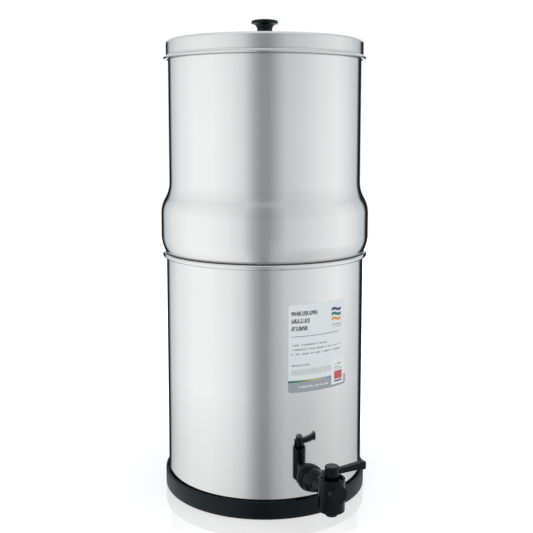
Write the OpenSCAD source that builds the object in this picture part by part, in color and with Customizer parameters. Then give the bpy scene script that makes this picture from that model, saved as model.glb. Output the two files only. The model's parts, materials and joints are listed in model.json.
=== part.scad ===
// Gravity water filter with a lever tap: two stacked steel chambers on a rubber foot.
// The origin is on the chambers' axis, in the plane the foot stands on. +Z is up and
// the tap points along -Y. All sizes are in millimetres.

/* [Lower chamber] */
// Outside diameter of the lower chamber
lower_d = 216; // [190:1:240]
// Height of the lower chamber, from its underside to the top of its rim
lower_h = 259; // [220:1:320]
// Thickness of the steel sheet of both chambers and the lid
sheet = 0.8; // [0.6:0.1:1.1]
// Diameter of the rolled rim that the upper chamber stands on
rim_d = 4.8; // [4:0.1:6]
// Radius of the corner between the lower chamber's wall and bottom
lower_corner_r = 8; // [5:0.5:12]

/* [Base ring] */
// Height of the rubber base ring
ring_h = 19.5; // [16:0.5:22]
// Thickness of the base ring's wall around the chamber
ring_wall = 3.5; // [2:0.1:5]
// Thickness of the base ring's lip, which the chamber stands on
ring_lip_h = 3; // [2:0.1:6]
// Width of the lip, measured inward from the chamber's wall
ring_lip_w = 16; // [14:1:30]
// Radius of the base ring's outer edges
ring_edge_r = 1.5; // [0.6:0.1:1.8]

/* [Upper chamber] */
// Height of the upper chamber, from its underside to the top of its hemmed edge
upper_h = 241; // [215:1:300]
// Gap around the upper chamber when it is packed upside down in the lower one
nest_gap = 3; // [2:0.1:5]
// How far the belly stands out beyond the lower chamber's rim
belly_over = 1.3; // [0.5:0.1:3]
// Radius of the belly's rounded underside
belly_r = 34; // [26:1:36]
// Height of the belly's straight band
belly_h = 24; // [15:1:32]
// Height of the shoulder between the belly and the wall above it
shoulder_h = 34; // [26:1:44]
// Diameter of the hemmed top edge
hem_d = 1.8; // [1.6:0.1:2.4]
// Distance from the chamber's axis to each of the four candle holes
hole_offset = 46; // [42:0.5:50]
// Clearance where a chamber or the lid stands on the piece below it
seat_gap = 0.3; // [0.2:0.05:0.5]

/* [Lid] */
// Height of the lid, from the underside of its brim to its top edge
lid_h = 19.6; // [14:0.2:26]
// Gap between the lid's skirt and the upper chamber's hem
lid_gap = 0.35; // [0.3:0.05:0.8]
// Outer radius of the lid's top edge
lid_edge_r = 2; // [1.5:0.1:2.2]
// Rise of the lid's domed top
lid_dome = 3; // [1:0.5:6]
// Width of the brim beyond the skirt
brim_w = 2.8; // [2.2:0.1:4]
// Thickness of the brim's rolled edge
brim_d = 2.8; // [2:0.1:3.4]

/* [Lid knob] */
// Diameter of the lid knob's cap
knob_d = 28.8; // [24:0.2:36]
// Height of the lid knob
knob_h = 21.3; // [20:0.1:28]
// Diameter of the lid knob's neck
knob_neck_d = 16.3; // [13:0.1:17]
// Diameter of the screw that holds the knob
knob_screw_d = 5; // [4:0.5:6]
// Length of that screw's shank
knob_screw_l = 13; // [10:0.5:15]

/* [Filter candles] */
// Diameter of a ceramic candle
candle_d = 50; // [44:1:54]
// Height of a ceramic candle's shell
candle_h = 178; // [120:1:190]
// Thickness of the ceramic shell
candle_wall = 6; // [4:0.5:8]
// Diameter of a candle's threaded stem
stem_d = 12; // [10:0.5:13]
// Length of the stem below the candle's mount
stem_l = 30; // [24:1:36]
// Thickness of the rubber washers under candles and blanking plugs
stem_washer_h = 3; // [2:0.5:4]
// Clearance of the chamber's holes around the stems, on the radius
stem_gap = 0.3; // [0.2:0.05:0.6]
// Height of a wing nut's round body
wing_nut_h = 9; // [7:0.5:12]

/* [Tap] */
// Height of the tap's axis above the surface the filter stands on
tap_z = 39.8; // [38:0.2:60]
// Distance from the chamber's wall to the axis of the tap's barrel
tap_reach = 45.2; // [40:0.2:60]
// Outside diameter of the barrel
barrel_d = 26.2; // [24:0.2:28]
// Height of the barrel
barrel_h = 33.2; // [32:0.2:38]
// How far the middle of the barrel lies above the tap's axis
barrel_rise = 0.2; // [0:0.1:2]
// Depth of the round recess in the barrel's top
recess_h = 9; // [8:0.2:10]
// Wall of the barrel around that recess
recess_wall = 2; // [1.6:0.1:2.2]
// Outside diameter of the spout
spout_d = 12.2; // [10:0.1:15]
// Height of the spout below the barrel
spout_h = 5.3; // [4:0.1:12]
// Diameter of the waterways through the tap
waterway_d = 8; // [6:0.1:8.6]
// Diameter of the tap's flange
flange_d = 26.6; // [25:0.1:32]
// Thickness of the tap's flange
flange_h = 3; // [2:0.1:4]
// Diameter of the threaded tail that goes through the chamber's wall
tail_d = 15.8; // [14:0.1:17]
// Length of the tail inside the wall
tail_l = 22; // [18:1:30]
// Thickness of the tap's two rubber washers at their middles
tap_washer_h = 2.5; // [1.5:0.1:3.5]
// Thickness of the lock nut
lock_nut_h = 7; // [5:0.5:9]
// Diameter of the round cap on the barrel's front
cap_d = 17.9; // [15:0.1:19.4]
// How far the middle of that cap lies above the tap's axis
cap_rise = 3.2; // [0:0.1:4]

/* [Tap plug and lever] */
// Diameter of the turning plug inside the barrel
plug_d = 15; // [14:0.1:16]
// Running clearance of the plug in the barrel, on the radius
run_gap = 0.05; // [0.03:0.01:0.08]
// Diameter of the knob on top of the plug
stalk_d = 14; // [12:0.1:14.6]
// Height of that knob above the barrel
stalk_h = 12; // [11:0.1:16]
// Reach of the lever from the plug's axis to its tip
lever_reach = 37.6; // [30:0.2:50]
// Height of the lever where it leaves the knob
lever_h = 5.3; // [4:0.1:6.2]
// Width of the lever where it leaves the knob
lever_w = 4.8; // [4:0.1:6]
// Height and width of the block at the lever's tip
lever_tip = 7.6; // [6.8:0.1:9]
// Distance from the barrel's top to the middle of the lever
lever_rise = 5.8; // [5.4:0.1:6.6]
// How much higher the lever's tip is than its root
lever_climb = 1.8; // [0:0.1:3]

/* [Label] */
// Width of the label, measured along the wall
label_w = 72.4; // [50:0.2:90]
// Height of the label
label_h = 90; // [60:1:120]
// Height of the label's lower edge above the surface the filter stands on
label_z = 131; // [90:1:140]
// Angle from the tap to the middle of the label
label_turn = 6.4; // [0:0.1:20]
// Thickness of the label
label_t = 0.2; // [0.1:0.05:0.4]

/* [Hidden] */

// Steps in each rounded stretch of an outline, and facets of a full circle
ARC_STEPS = 14;
$fn = 96;
// Clearance of a thread in its nut, on the radius
thread_gap = 0.05;
// How far a cutting shape runs past the face that it cuts
past = 1;
// Surface gap left between pieces that are only laid against each other
laid_gap = 0.05;
// The same where a piece is laid against the curve of the sheet
curve_gap = 0.1;

// Lower chamber and its rim
lower_r = lower_d / 2;
lower_top = ring_lip_h + lower_h;
rim_r = rim_d / 2;
rim_at = [lower_r - sheet + rim_r, lower_top - rim_r];
rim_outer_r = rim_at[0] + rim_r;

// Upper chamber: the belly's underside touches the rim along a circle
upper_r = lower_r - sheet - nest_gap;
belly_out_r = rim_outer_r + belly_over;
belly_in_r = belly_out_r - belly_r;
belly_rest = belly_r + rim_r + seat_gap;
belly_z = rim_at[1] + sqrt(belly_rest * belly_rest - pow(rim_at[0] - belly_in_r, 2));
upper_bottom = belly_z - belly_r;
upper_floor = upper_bottom + sheet;
belly_top = belly_z + belly_h;
shoulder_top = belly_top + shoulder_h;
shoulder_angle = 2 * atan((belly_out_r - upper_r) / shoulder_h);
shoulder_r = shoulder_h / 2 / sin(shoulder_angle);
upper_top = upper_bottom + upper_h;
hem_r = hem_d / 2;
hem_at = [upper_r - sheet + hem_r, upper_top - hem_r];

// Lid
skirt_in_r = hem_at[0] + hem_r + lid_gap;
skirt_r = skirt_in_r + sheet;
lid_under = upper_top + seat_gap;
lid_top = lid_under + sheet;
lid_bottom = lid_top - lid_h;
brim_r = brim_d / 2;
brim_at = [skirt_r + brim_w - brim_r, lid_bottom + brim_r];
brim_fillet = 1.5;
fillet_at = [
    skirt_r + brim_fillet,
    brim_at[1] + sqrt(pow(brim_fillet + brim_r, 2) - pow(skirt_r + brim_fillet - brim_at[0], 2))
];
fillet_turn = acos((fillet_at[0] - brim_at[0]) / (brim_fillet + brim_r));
knob_seat_r = 13;
knob_seat_z = lid_top + lid_dome;
dome_r = skirt_r - lid_edge_r;

// Lid knob, measured from its foot
knob_foot_r = knob_neck_d / 2 + 1.3;
knob_foot_h = 3;
knob_cap_h = 5.3;
knob_cap_crown = 2;
knob_flare_r = 6;
knob_screw_r = knob_screw_d / 2;
knob_screw_head_r = knob_screw_r * 1.9;
knob_screw_head_h = 3;
knob_washer_r = knob_screw_head_r + 2.2;
knob_washer_h = 1;

// Filter candles
candle_r = candle_d / 2;
stem_r = stem_d / 2;
stem_bore_r = stem_r / 2;
stem_hole_r = stem_r + stem_gap;
stem_washer_w = 7;
stem_washer_r = stem_r + stem_washer_w;
mount_z = upper_floor + stem_washer_h;
mount_floor_h = 4;
mount_rim_h = 9;
mount_wall = 2;
mount_gap = 0.1;
core_gap = 2;
core_r = candle_r - candle_wall - core_gap;
core_bore_r = 4;
core_h = candle_h - candle_r - candle_wall;
wing_nut_r = stem_r + 3.5;
wing_span = 17;
wing_t = 3;
plug_head_r = stem_r + 6;
plug_head_h = 5;

// Tap, measured outward from the chamber's wall along the tap's axis
tail_r = tail_d / 2;
tail_hole_gap = 0.4;
tap_washer_r = flange_d / 2 + 0.5;
inner_washer_r = tail_r + 6;
flange_r = flange_d / 2;
flange_groove_h = 0.6;
flange_groove_w = 0.5;
bell_r = flange_r - 1;
bell_bulge = 0.8;
neck_r = 7.6;
bell_l = 13;
barrel_r = barrel_d / 2;
barrel_edge_r = 0.8;
barrel_bottom = tap_z + barrel_rise - barrel_h / 2;
barrel_top = barrel_bottom + barrel_h;
barrel_floor = 4;
recess_r = barrel_r - recess_wall;
recess_z = barrel_top - recess_h;
waterway_r = waterway_d / 2;
spout_bottom = barrel_bottom - spout_h;
spout_r = spout_d / 2;
boss_wall = 0.45;
boss_proud = 0.1;
cap_r = cap_d / 2;
cap_gap = 0.05;
boss_r = cap_r + cap_gap + boss_wall;
cap_sink = 0.9;
cap_proud = 0.1;
cap_seat = barrel_r + boss_proud - cap_sink;
cap_edge = 0.4;
cap_pin_r = 2;
cap_pin_l = 3;

// Plug, retaining ring and lever
plug_r = plug_d / 2;
bore_r = plug_r + run_gap;
bore_bottom = barrel_bottom + barrel_floor;
plug_foot_gap = 0.3;
plug_port_r = waterway_r - 0.4;
collar_r = plug_r + 1.2;
collar_h = 2;
collar_gap = 0.15;
stalk_r = stalk_d / 2;
stalk_edge_r = 0.9;
retainer_h = 3.8;
retainer_bore_r = stalk_r + 0.4;
seal_d = 1.8;
seal_r = seal_d / 2;
seal_out_r = bore_r - 0.02;
seal_rise = 6.5;
groove_gap = 0.1;
lever_z = barrel_top + lever_rise;
slot_gap = 0.05;
tail_reach = 10;
tab_w = 2.4;
tab_drop = lever_h + 1.9;

// Label
label_span = label_w / (lower_r + label_t) * 180 / PI;

// Points along an arc about c, from angle a0 to angle a1
function arc(c, r, a0, a1) =
    [for (i = [0:ARC_STEPS]) let (a = a0 + (a1 - a0) * i / ARC_STEPS) c + r * [cos(a), sin(a)]];

// The same points in the opposite order
function turned(pts) = [for (i = [len(pts) - 1:-1:0]) pts[i]];

// Section of a sheet edge rolled outward into a tube of radius r about c,
// from where it meets the outside of the wall to the inside of the wall
function rolled(c, r) = arc(c, r, -acos((sheet - r) / r), 180);

// Path of the lower chamber's section, set inward by t
function lower_path(t) = concat(
    [[0, ring_lip_h + t]],
    arc([lower_r - lower_corner_r, ring_lip_h + lower_corner_r], lower_corner_r - t, -90, 0)
);

// Path of the upper chamber's section, set inward by t
function upper_path(t) = concat(
    [[0, upper_bottom + t]],
    arc([belly_in_r, belly_z], belly_r - t, -90, 0),
    arc([belly_out_r - shoulder_r, belly_top], shoulder_r - t, 0, shoulder_angle),
    arc([upper_r + shoulder_r, shoulder_top], shoulder_r + t, 180 + shoulder_angle, 180)
);

// Domed top of the lid, from the edge to the knob's seat, set inward by t
function dome_path(t) = [
    for (i = [0:ARC_STEPS])
        let (r = dome_r + (knob_seat_r - dome_r) * i / ARC_STEPS)
        let (s = (r - knob_seat_r) / (dome_r - knob_seat_r))
        [r, lid_top + lid_dome * (1 - s * s) - t]
];

// ---- Lower body ----

module base_ring() {
    out_r = lower_r + ring_wall;
    lip_r = lower_r - ring_lip_w;
    color("#26272a")
    rotate_extrude()
    polygon(concat(
        [[lip_r, 0]],
        arc([out_r - ring_edge_r, ring_edge_r], ring_edge_r, -90, 0),
        arc([out_r - ring_edge_r, ring_h - ring_edge_r], ring_edge_r, 0, 90),
        [[lower_r, ring_h]],
        turned(arc([lower_r - lower_corner_r, ring_lip_h + lower_corner_r], lower_corner_r, -90, 0)),
        [[lip_r, ring_lip_h]]
    ));
}

module lower_chamber() {
    color("#c9ccce")
    difference() {
        rotate_extrude()
        polygon(concat(lower_path(0), rolled(rim_at, rim_r), turned(lower_path(sheet))));
        from_wall()
        cylinder(h = 4 * sheet, r = tail_r + tail_hole_gap, center = true);
    }
}

module label() {
    color("#dfe4e6")
    rotate(-90 + label_turn - label_span / 2)
    rotate_extrude(angle = label_span)
    translate([lower_r + laid_gap, label_z])
    square([label_t, label_h]);
}

// ---- Tap ----

// Puts its children on the tap's axis, or above it by rise, with +Z outward and zero at
// the chamber's wall
module from_wall(out = 0, rise = 0) {
    translate([0, -lower_r - out, tap_z + rise])
    rotate([90, 0, 0])
    children();
}

// Puts its children on the barrel's axis
module at_barrel(z = 0) {
    translate([0, -lower_r - tap_reach, z])
    children();
}

module tap_body() {
    color("#202124")
    difference() {
        union() {
            tap_neck();
            tap_barrel();
            from_wall(tap_reach, cap_rise)
            cylinder(h = barrel_r + boss_proud, r = boss_r);
        }
        // Waterway from the chamber to the plug
        from_wall(-tail_l - past)
        cylinder(h = tail_l + tap_reach + past, r = waterway_r);
        // Bore that the plug turns in
        at_barrel(bore_bottom)
        cylinder(h = barrel_h, r = bore_r);
        // Recess in the top of the barrel
        at_barrel(recess_z)
        cylinder(h = recess_h + past, r = recess_r);
        // Waterway down through the spout
        at_barrel(spout_bottom - past)
        cylinder(h = spout_h + barrel_floor + 2 * past, r = waterway_r);
        // Seat of the front cap, with the blind hole for its pin
        from_wall(tap_reach + cap_seat, cap_rise) {
            cylinder(h = cap_sink + past, r = cap_r + cap_gap);
            translate([0, 0, -cap_pin_l - laid_gap])
            cylinder(h = cap_pin_l + past, r = cap_pin_r + laid_gap);
        }
    }
}

// Threaded tail, flange and the rounded bell that narrows to a neck at the barrel
module tap_neck() {
    bell_z = tap_washer_h + flange_h;
    from_wall()
    rotate_extrude()
    polygon(concat(
        [[0, -tail_l], [tail_r - 1, -tail_l], [tail_r, 1 - tail_l], [tail_r, tap_washer_h]],
        [[flange_r, tap_washer_h], [flange_r, bell_z - 0.4], [flange_r - 0.4, bell_z]],
        [[bell_r + flange_groove_w, bell_z]],
        [[bell_r + flange_groove_w, bell_z - flange_groove_h]],
        [[bell_r, bell_z - flange_groove_h]],
        [
            for (i = [0:ARC_STEPS])
                let (s = i / ARC_STEPS)
                [neck_r + (bell_r - neck_r) * pow(cos(90 * s), bell_bulge), bell_z + bell_l * s]
        ],
        [[neck_r, tap_reach - 1], [0, tap_reach - 1]]
    ));
}

module tap_barrel() {
    at_barrel()
    rotate_extrude()
    polygon(concat(
        [[0, spout_bottom], [spout_r - 0.6, spout_bottom], [spout_r, spout_bottom + 0.6]],
        [[spout_r, barrel_bottom]],
        arc([barrel_r - barrel_edge_r, barrel_bottom + barrel_edge_r], barrel_edge_r, -90, 0),
        arc([barrel_r - barrel_edge_r, barrel_top - barrel_edge_r], barrel_edge_r, 0, 90),
        [[0, barrel_top]]
    ));
}

module tap_outer_washer() {
    color("#17181a")
    difference() {
        from_wall(-2 * past)
        cylinder(h = tap_washer_h + 2 * past, r = tap_washer_r);
        from_wall(-3 * past)
        cylinder(h = tap_washer_h + 4 * past, r = tail_r + laid_gap);
        cylinder(h = lower_top, r = lower_r + curve_gap);
    }
}

module tap_inner_washer() {
    color("#17181a")
    intersection() {
        difference() {
            from_wall(-sheet - tap_washer_h)
            cylinder(h = tap_washer_h + past, r = inner_washer_r);
            from_wall(-sheet - tap_washer_h - past)
            cylinder(h = tap_washer_h + 3 * past, r = tail_r + laid_gap);
        }
        cylinder(h = lower_top, r = lower_r - sheet - curve_gap);
    }
}

module tap_lock_nut() {
    flat_r = tail_r + 4;
    color("#26282b")
    from_wall(-sheet - tap_washer_h - lock_nut_h)
    difference() {
        intersection() {
            cylinder(h = lock_nut_h, r = flat_r / cos(30), $fn = 6);
            cylinder(h = lock_nut_h, r = flat_r + 1.2);
        }
        translate([0, 0, -past])
        cylinder(h = lock_nut_h + 2 * past, r = tail_r + thread_gap);
    }
}

module tap_front_cap() {
    color("#1c1d20")
    from_wall(tap_reach + cap_seat, cap_rise)
    rotate_extrude()
    polygon([
        [0, -cap_pin_l],
        [cap_pin_r, -cap_pin_l],
        [cap_pin_r, 0],
        [cap_r, 0],
        [cap_r, cap_sink + cap_proud - cap_edge],
        [cap_r - cap_edge, cap_sink + cap_proud],
        [0, cap_sink + cap_proud]
    ]);
}

module tap_retaining_ring() {
    color("#141517")
    at_barrel(recess_z + collar_h + 2 * collar_gap)
    difference() {
        cylinder(h = retainer_h, r = recess_r - laid_gap);
        translate([0, 0, -past])
        cylinder(h = retainer_h + 2 * past, r = retainer_bore_r);
    }
}

// ---- Plug and lever, which turn together ----

module tap_plug() {
    foot = bore_bottom + plug_foot_gap;
    top = barrel_top + stalk_h;
    color("#202124")
    difference() {
        at_barrel()
        rotate_extrude()
        polygon(concat(
            [[0, foot], [plug_r, foot], [plug_r, recess_z + collar_gap]],
            [[collar_r, recess_z + collar_gap], [collar_r, recess_z + collar_gap + collar_h]],
            [[stalk_r, recess_z + collar_gap + collar_h]],
            arc([stalk_r - stalk_edge_r, top - stalk_edge_r], stalk_edge_r, 0, 90),
            [[0, top]]
        ));
        // Waterway: in at the side, which faces away from the lever, and out at the foot
        at_barrel(foot - past)
        cylinder(h = tap_z - foot + past, r = plug_port_r);
        at_barrel(tap_z)
        rotate([0, -90, 0])
        cylinder(h = plug_r + past, r = plug_port_r);
        for (rise = [-seal_rise, seal_rise])
            at_barrel(tap_z + rise)
            difference() {
                cylinder(h = seal_d + 2 * groove_gap, r = plug_r + past, center = true);
                cylinder(h = seal_d + 4 * past, r = seal_out_r - seal_d - groove_gap, center = true);
            }
        // Slot that the lever goes through
        at_barrel(lever_z)
        cube([2 * stalk_r + past, lever_w + 2 * slot_gap, lever_h + 2 * slot_gap], center = true);
    }
}

module tap_plug_seals() {
    color("#111213")
    for (rise = [-seal_rise, seal_rise])
        at_barrel(tap_z + rise)
        rotate_extrude()
        translate([seal_out_r - seal_r, 0])
        circle(seal_r);
}

// The lever is a bar that widens into a block at its tip. Its short tail ends in a tab that
// hangs beside the knob.
module tap_lever() {
    block_l = 6;
    chamfer = 1.2;
    half = lever_tip / 2;
    color("#202124")
    at_barrel(lever_z) {
        intersection() {
            rotate([90, 0, 0])
            linear_extrude(height = lever_tip, center = true)
            lever_outline(lever_h / 2, half, block_l, chamfer, lever_climb);
            linear_extrude(height = lever_tip + 2 * lever_climb, center = true)
            lever_outline(lever_w / 2, half, block_l, chamfer, 0);
        }
        translate([-tail_reach, -lever_w / 2, lever_h / 2 - tab_drop])
        cube([tab_w, lever_w, tab_drop]);
    }
}

// Outline of the lever, seen from the side or from above: half its height or width at the
// root and at the tip, the length of the tip's block, the block's chamfer and the climb
module lever_outline(root, tip, block_l, chamfer, climb) {
    grip = lever_reach - block_l;
    flare = (tip - root) * 0.45 + root;
    side = [
        [-tail_reach, root], [stalk_r, root], [grip, flare], [grip + chamfer, tip],
        [lever_reach - chamfer, tip], [lever_reach, tip - chamfer]
    ];
    slope = climb / (lever_reach - stalk_r);
    polygon([
        for (p = concat(side, [for (q = turned(side)) [q[0], -q[1]]]))
            [p[0], p[1] + max(0, p[0] - stalk_r) * slope]
    ]);
}

// ---- Upper body ----

// Puts its children at one of the four candle holes, the angle measured from +X
module at_hole(angle, z = 0) {
    rotate(angle)
    translate([hole_offset, 0, z])
    children();
}

module upper_chamber() {
    color("#c9ccce")
    difference() {
        rotate_extrude()
        polygon(concat(upper_path(0), rolled(hem_at, hem_r), turned(upper_path(sheet))));
        for (angle = [0:90:270])
            at_hole(angle, upper_bottom - past)
            cylinder(h = sheet + 2 * past, r = stem_hole_r);
    }
}

// Ceramic shell with a domed end, open below
module candle_shell(angle) {
    straight = candle_h - candle_r;
    inner_r = candle_r - candle_wall;
    color("#ece8dd")
    at_hole(angle, mount_z + mount_floor_h)
    rotate_extrude()
    polygon(concat(
        [[inner_r, 0], [candle_r, 0]],
        arc([0, straight], candle_r, 0, 90),
        turned(arc([0, straight], inner_r, 0, 90))
    ));
}

// Block of pressed carbon inside the ceramic shell
module candle_core(angle) {
    color("#2b2a28")
    at_hole(angle, mount_z + mount_floor_h)
    difference() {
        cylinder(h = core_h, r = core_r);
        translate([0, 0, -past])
        cylinder(h = core_h - core_r, r = core_bore_r);
    }
}

// Moulded cup that the ceramic is sealed in, with its threaded stem
module candle_mount(angle) {
    cup_r = candle_r + mount_gap;
    rim_top = mount_floor_h + mount_rim_h;
    color("#e9ebec")
    at_hole(angle, mount_z)
    difference() {
        rotate_extrude()
        polygon([
            [0, -stem_l], [stem_r - 1, -stem_l], [stem_r, 1 - stem_l], [stem_r, 0],
            [cup_r + mount_wall - 1, 0], [cup_r + mount_wall, 1],
            [cup_r + mount_wall, rim_top], [cup_r, rim_top], [cup_r, mount_floor_h],
            [0, mount_floor_h]
        ]);
        translate([0, 0, -stem_l - past])
        cylinder(h = stem_l + mount_floor_h + 2 * past, r = stem_bore_r);
    }
}

module stem_washer(angle) {
    color("#222325")
    at_hole(angle, upper_floor)
    difference() {
        cylinder(h = stem_washer_h, r = stem_washer_r);
        translate([0, 0, -past])
        cylinder(h = stem_washer_h + 2 * past, r = stem_r + laid_gap);
    }
}

module wing_nut(angle) {
    color("#e4e6e8")
    at_hole(angle, upper_bottom - wing_nut_h)
    difference() {
        union() {
            cylinder(h = wing_nut_h, r = wing_nut_r);
            rotate([90, 0, 0])
            linear_extrude(height = wing_t, center = true)
            for (side = [-1, 1]) {
                translate([side * (wing_span - 4), wing_nut_h / 2 - 1])
                circle(4);
                translate([side * (wing_span - 4) / 2, wing_nut_h / 2 - 1])
                square([wing_span - 4, 6], center = true);
            }
        }
        translate([0, 0, -past])
        cylinder(h = wing_nut_h + 2 * past, r = stem_r + thread_gap);
    }
}

// Plug that closes a hole where no candle is fitted
module blanking_plug(angle) {
    color("#222325")
    at_hole(angle, mount_z)
    rotate_extrude()
    polygon([
        [0, -stem_l], [stem_r - 1, -stem_l], [stem_r, 1 - stem_l], [stem_r, 0],
        [plug_head_r, 0], [plug_head_r, plug_head_h - 1.5], [plug_head_r - 1.5, plug_head_h],
        [0, plug_head_h]
    ]);
}

module candle_shell_left() { candle_shell(180); }
module candle_core_left() { candle_core(180); }
module candle_mount_left() { candle_mount(180); }
module candle_washer_left() { stem_washer(180); }
module candle_wing_nut_left() { wing_nut(180); }
module candle_shell_right() { candle_shell(0); }
module candle_core_right() { candle_core(0); }
module candle_mount_right() { candle_mount(0); }
module candle_washer_right() { stem_washer(0); }
module candle_wing_nut_right() { wing_nut(0); }
module blanking_plug_front() { blanking_plug(-90); }
module blanking_plug_rear() { blanking_plug(90); }

module blanking_washers() {
    stem_washer(-90);
    stem_washer(90);
}

module blanking_wing_nuts() {
    wing_nut(-90);
    wing_nut(90);
}

// ---- Lid ----

module lid() {
    color("#c9ccce")
    difference() {
        rotate_extrude()
        polygon(concat(
            [[skirt_in_r, lid_bottom]],
            arc(brim_at, brim_r, -90, fillet_turn),
            turned(arc(fillet_at, brim_fillet, 180, 180 + fillet_turn)),
            arc([skirt_r - lid_edge_r, lid_top - lid_edge_r], lid_edge_r, 0, 90),
            dome_path(0),
            [[0, knob_seat_z], [0, knob_seat_z - sheet]],
            turned(dome_path(sheet)),
            turned(arc([skirt_r - lid_edge_r, lid_top - lid_edge_r], lid_edge_r - sheet, 0, 90))
        ));
        translate([0, 0, lid_bottom])
        cylinder(h = 2 * lid_h, r = knob_screw_r + laid_gap);
    }
}

module lid_knob() {
    neck_r = knob_neck_d / 2;
    cap_r = knob_d / 2;
    cap_z = knob_h - knob_cap_h;
    flare_end = asin(0.98);
    color("#1b1c1e")
    translate([0, 0, knob_seat_z])
    difference() {
        rotate_extrude()
        polygon(concat(
            [[0, 0], [knob_foot_r, 0], [knob_foot_r, knob_foot_h / 2]],
            [[neck_r, knob_foot_h]],
            turned(arc([neck_r + knob_flare_r, cap_z - knob_flare_r], knob_flare_r, 180 - flare_end, 180)),
            [[cap_r - 0.7, cap_z], [cap_r, cap_z + 0.8], [cap_r, knob_h - knob_cap_crown - 0.9]],
            [
                for (i = [0:ARC_STEPS])
                    let (s = 1 - i / ARC_STEPS)
                    [(cap_r - 0.7) * s, knob_h - knob_cap_crown * s * s]
            ]
        ));
        translate([0, 0, -past])
        cylinder(h = knob_screw_l + past, r = knob_screw_r + laid_gap);
    }
}

module lid_knob_screw() {
    under = knob_seat_z - sheet - knob_washer_h;
    color("#b9bcc0")
    difference() {
        union() {
            translate([0, 0, under])
            cylinder(h = sheet + knob_washer_h + knob_screw_l - 0.5, r = knob_screw_r);
            translate([0, 0, under - knob_screw_head_h])
            rotate_extrude()
            polygon([
                [0, 0], [knob_screw_head_r - 1.2, 0], [knob_screw_head_r, 1.2],
                [knob_screw_head_r, knob_screw_head_h], [0, knob_screw_head_h]
            ]);
        }
        for (turn = [0, 90])
            translate([0, 0, under - knob_screw_head_h])
            rotate(turn)
            cube([knob_screw_head_r * 1.2, 1, 3], center = true);
    }
}

module lid_knob_washer() {
    color("#b9bcc0")
    translate([0, 0, knob_seat_z - sheet - knob_washer_h])
    difference() {
        cylinder(h = knob_washer_h, r = knob_washer_r);
        translate([0, 0, -past])
        cylinder(h = knob_washer_h + 2 * past, r = knob_screw_r + laid_gap);
    }
}

base_ring();
lower_chamber();
label();
tap_body();
tap_outer_washer();
tap_inner_washer();
tap_lock_nut();
tap_front_cap();
tap_retaining_ring();
tap_plug();
tap_plug_seals();
tap_lever();
upper_chamber();
candle_shell_left();
candle_core_left();
candle_mount_left();
candle_washer_left();
candle_wing_nut_left();
candle_shell_right();
candle_core_right();
candle_mount_right();
candle_washer_right();
candle_wing_nut_right();
blanking_plug_front();
blanking_plug_rear();
blanking_washers();
blanking_wing_nuts();
lid();
lid_knob();
lid_knob_screw();
lid_knob_washer();
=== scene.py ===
# %% [markdown]
# # A gravity water filter with a tap
#
# Two chambers of polished steel stand one on the other. Water poured in at the top drips
# through two ceramic candles into the lower chamber, and a lever tap near the foot draws it
# off. The solids of every part are loaded first: they give the sizes and the moving bodies.
# Each cell after that dresses one piece or makes one finish.

# %% Load the frame
import json
import math
import bpy
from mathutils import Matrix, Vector


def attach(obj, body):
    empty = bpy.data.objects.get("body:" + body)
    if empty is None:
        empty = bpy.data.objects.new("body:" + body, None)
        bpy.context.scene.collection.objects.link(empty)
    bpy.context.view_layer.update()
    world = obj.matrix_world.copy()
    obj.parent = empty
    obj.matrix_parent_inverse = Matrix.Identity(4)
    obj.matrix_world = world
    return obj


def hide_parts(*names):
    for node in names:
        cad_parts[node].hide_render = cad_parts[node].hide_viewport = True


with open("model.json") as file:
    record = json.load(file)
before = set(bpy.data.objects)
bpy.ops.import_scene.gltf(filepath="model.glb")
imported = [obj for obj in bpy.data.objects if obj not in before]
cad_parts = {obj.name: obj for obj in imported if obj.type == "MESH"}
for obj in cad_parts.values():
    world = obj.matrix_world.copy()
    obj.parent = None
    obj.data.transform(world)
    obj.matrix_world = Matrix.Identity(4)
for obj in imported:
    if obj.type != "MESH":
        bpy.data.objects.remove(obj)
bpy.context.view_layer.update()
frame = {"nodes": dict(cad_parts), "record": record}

# %% [markdown]
# ## Sizes
#
# All sizes are in millimetres here, as on a drawing, and MM turns them into metres where a
# mesh is made. A name that ends in R is a radius, in Z a height, and in AT the centre of a
# curve, as its radius from the axis and its height. The shells are thin sheet, so one sheet
# thickness runs through all of them. The drum's rounded foot is here too, because the base
# ring is moulded to fit it.

# %% Sizes that several pieces share
MM = 0.001
SHEET = 0.8
WALL_R = 108.0
FLOOR_Z, FOOT_R = 3.0, 8
FOOT_AT = (WALL_R - FOOT_R, FLOOR_Z + FOOT_R)
print("wall radius", WALL_R, "mm, sheet", SHEET, "mm, foot curved about", FOOT_AT)

# %% [markdown]
# ## Drawing a section
#
# A turned piece starts as its section, a list of points that are each a radius and a height.
# Three shapes come back in nearly every section, so each has a helper: an arc, the extra rings
# that keep the mesh of a straight wall even, and the roll of an edge that is turned outward.

# %% Section helpers
def arc(centre, radius, start, stop, steps=16):
    """Points along an arc in a section, with angles in degrees"""
    points = []
    for step in range(steps + 1):
        turn = math.radians(start + (stop - start) * step / steps)
        points.append((centre[0] + radius * math.cos(turn), centre[1] + radius * math.sin(turn)))
    return points


def climb(radius, bottom, top, steps):
    """Extra rings between the two ends of a straight wall"""
    return [(radius, bottom + (top - bottom) * step / steps) for step in range(1, steps)]


def rolled(centre, radius, steps):
    """An edge rolled outward, from the outside of the wall to its inside"""
    start = -math.degrees(math.acos((SHEET - radius) / radius))
    return arc(centre, radius, start, 180, steps)


print("halfway round the foot:", [round(part, 2) for part in arc(FOOT_AT, FOOT_R, -90, 0, 2)[1]])

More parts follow.
